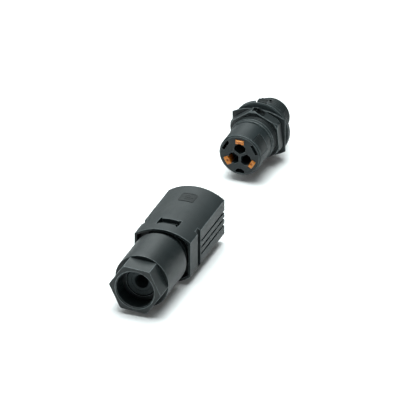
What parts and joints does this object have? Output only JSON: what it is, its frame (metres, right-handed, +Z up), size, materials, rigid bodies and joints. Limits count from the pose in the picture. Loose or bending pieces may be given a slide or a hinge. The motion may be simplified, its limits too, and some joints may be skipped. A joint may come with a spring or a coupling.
{
  "type": "solar cable connector",
  "caption": "Pole-coded power connector pair: cable half with gland nut and ribbed locking sleeve, and panel half with push-in conductor face, lock nut and flange.",
  "frame": {"origin": "middle of the footprint of the two halves, on the surface that they lie on", "axes": "+X along both halves from the cable gland to the mating ends, +Y to the left, +Z up"},
  "size_m": [0.2444, 0.0378, 0.0378],
  "materials": {
    "housing_plastic": "fine moulded texture, matt",
    "nut_plastic": "fine moulded texture, satin",
    "insulator_plastic": "smooth moulded, satin",
    "small_part_plastic": "smooth moulded, matt",
    "orange_plastic": "smooth moulded, satin",
    "seal_rubber": "soft matt rubber",
    "contact_brass": "turned, lightly tarnished",
    "spring_steel": "rolled strip"
  },
  "bodies": {
    "cable_half": {"sleeve": "housing_plastic", "gland_body": "housing_plastic", "body_oring": "seal_rubber", "gland_cage": "small_part_plastic", "gland_seal_outer": "seal_rubber", "gland_seal_inner": "seal_rubber", "cable_carrier": "insulator_plastic", "socket_carrier": "insulator_plastic", "socket_boss": "insulator_plastic", "socket_contact_1": "contact_brass", "socket_contact_2": "contact_brass", "socket_contact_3": "contact_brass", "cable_clamp_spring_1": "spring_steel", "cable_clamp_spring_2": "spring_steel", "cable_clamp_spring_3": "spring_steel"},
    "gland_thrust": {"gland_thrust_ring": "small_part_plastic"},
    "gland_nut": {"gland_nut": "nut_plastic"},
    "body_snap_tab": {"body_snap_tab": "small_part_plastic"},
    "cable_pusher_1": {"cable_pusher_1": "orange_plastic"},
    "cable_pusher_2": {"cable_pusher_2": "orange_plastic"},
    "cable_pusher_3": {"cable_pusher_3": "orange_plastic"},
    "panel_half": {"panel_housing": "housing_plastic", "plug_oring": "seal_rubber", "panel_carrier": "insulator_plastic", "pin_carrier": "insulator_plastic", "flange_gasket": "seal_rubber", "latch_pin": "spring_steel", "latch_spring": "spring_steel", "pin_contact_1": "contact_brass", "pin_contact_2": "contact_brass", "pin_contact_3": "contact_brass", "panel_clamp_spring_1": "spring_steel", "panel_clamp_spring_2": "spring_steel", "panel_clamp_spring_3": "spring_steel"},
    "pressure_plate": {"pressure_plate": "housing_plastic"},
    "lock_nut": {"lock_nut": "nut_plastic"},
    "panel_pusher_1": {"panel_pusher_1": "orange_plastic"},
    "panel_pusher_2": {"panel_pusher_2": "orange_plastic"},
    "panel_pusher_3": {"panel_pusher_3": "orange_plastic"},
    "latch_lever": {"latch_lever": "small_part_plastic"},
    "carrier_snap_tab_right": {"carrier_snap_tab_right": "small_part_plastic"},
    "carrier_snap_tab_left": {"carrier_snap_tab_left": "small_part_plastic"}
  },
  "joints": [
    {"name": "gland_feed", "type": "slide", "parent": "cable_half", "child": "gland_thrust", "axis": [1, 0, 0], "range_m": [-0.002, 0.003]},
    {"name": "gland_nut_turn", "type": "hinge", "parent": "gland_thrust", "child": "gland_nut", "pos_m": [-0.1022, 0, 0.018], "axis": [1, 0, 0], "range_deg": [-360, 540]},
    {"name": "body_snap_tab_press", "type": "hinge", "parent": "cable_half", "child": "body_snap_tab", "pos_m": [-0.0569, 0, 0.032], "axis": [0, -1, 0], "range_deg": [0, 15], "stiffness_Nm_per_rad": 0.05},
    {"name": "cable_pusher_1_press", "type": "slide", "parent": "cable_half", "child": "cable_pusher_1", "axis": [1, 0, 0], "range_m": [0, 0.0015], "stiffness_N_per_m": 800},
    {"name": "cable_pusher_2_press", "type": "slide", "parent": "cable_half", "child": "cable_pusher_2", "axis": [1, 0, 0], "range_m": [0, 0.0015], "stiffness_N_per_m": 800},
    {"name": "cable_pusher_3_press", "type": "slide", "parent": "cable_half", "child": "cable_pusher_3", "axis": [1, 0, 0], "range_m": [0, 0.0015], "stiffness_N_per_m": 800},
    {"name": "panel_half_turn", "type": "hinge", "parent": "cable_half", "child": "panel_half", "pos_m": [0.0603, 0, 0.0189], "axis": [0, 0, 1], "range_deg": [0, 180]},
    {"name": "pressure_plate_feed", "type": "slide", "parent": "panel_half", "child": "pressure_plate", "axis": [1, 0, 0], "range_m": [-0.003, 0.00075]},
    {"name": "lock_nut_turn", "type": "hinge", "parent": "pressure_plate", "child": "lock_nut", "pos_m": [0.0929, 0, 0.0189], "axis": [1, 0, 0], "range_deg": [-720, 180]},
    {"name": "panel_pusher_1_press", "type": "slide", "parent": "panel_half", "child": "panel_pusher_1", "axis": [1, 0, 0], "range_m": [0, 0.0015], "stiffness_N_per_m": 800},
    {"name": "panel_pusher_2_press", "type": "slide", "parent": "panel_half", "child": "panel_pusher_2", "axis": [1, 0, 0], "range_m": [0, 0.0015], "stiffness_N_per_m": 800},
    {"name": "panel_pusher_3_press", "type": "slide", "parent": "panel_half", "child": "panel_pusher_3", "axis": [1, 0, 0], "range_m": [0, 0.0015], "stiffness_N_per_m": 800},
    {"name": "latch_press", "type": "hinge", "parent": "panel_half", "child": "latch_lever", "pos_m": [0.1019, 0, 0.0343], "axis": [0, 1, 0], "range_deg": [0, 5], "stiffness_Nm_per_rad": 0.1},
    {"name": "carrier_snap_tab_right_press", "type": "hinge", "parent": "panel_half", "child": "carrier_snap_tab_right", "pos_m": [0.0655, -0.01169, 0.02525], "axis": [0, 0.4772, 0.8788], "range_deg": [0, 3], "stiffness_Nm_per_rad": 0.05},
    {"name": "carrier_snap_tab_left_press", "type": "hinge", "parent": "panel_half", "child": "carrier_snap_tab_left", "pos_m": [0.0655, 0.01169, 0.02525], "axis": [0, 0.4772, -0.8788], "range_deg": [0, 3], "stiffness_Nm_per_rad": 0.05}
  ],
  "couplings": [
    {"joint": "gland_feed", "follows": "gland_nut_turn", "m_per_rad": 0.00031831},
    {"joint": "pressure_plate_feed", "follows": "lock_nut_turn", "m_per_rad": 0.00023873}
  ]
}
